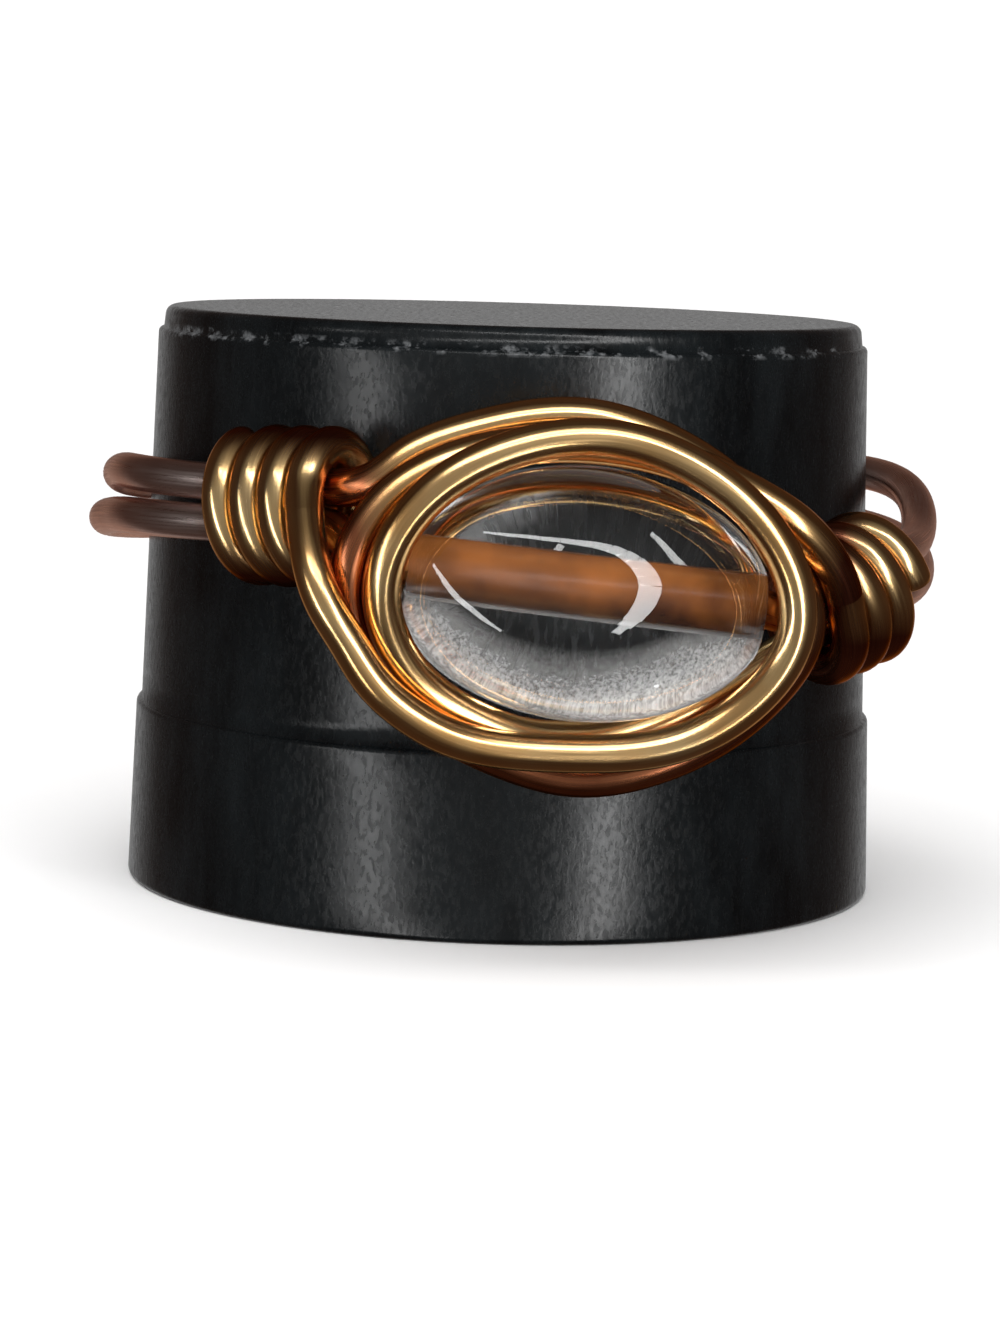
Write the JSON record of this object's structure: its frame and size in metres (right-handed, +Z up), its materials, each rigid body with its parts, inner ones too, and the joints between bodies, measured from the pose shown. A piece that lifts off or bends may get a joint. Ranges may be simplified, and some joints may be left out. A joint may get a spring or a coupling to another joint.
{
  "type": "wire wrapped ring on a stepped ring stand",
  "caption": "Copper wire ring wrapped round an oval clear glass bead, with coiled shoulders and a double wire band, resting on a plain black stepped ring stand.",
  "frame": {"origin": "centre of the stand's flat foot", "axes": "+Z up along the stand's axis, -Y towards the viewer, where the ring's bead faces, +X to the right of the bead"},
  "size_m": [0.0196, 0.022, 0.0133],
  "materials": {
    "stand": "finely grained black",
    "glass": "polished and clear",
    "copper": "polished bare copper wire"
  },
  "bodies": {
    "root": {"ring_stand": "stand", "glass_bead": "glass", "band_wire": "copper", "swirl_back_wire": "copper", "swirl_front_wire": "copper", "left_coil": "copper", "right_coil": "copper"}
  },
  "joints": []
}
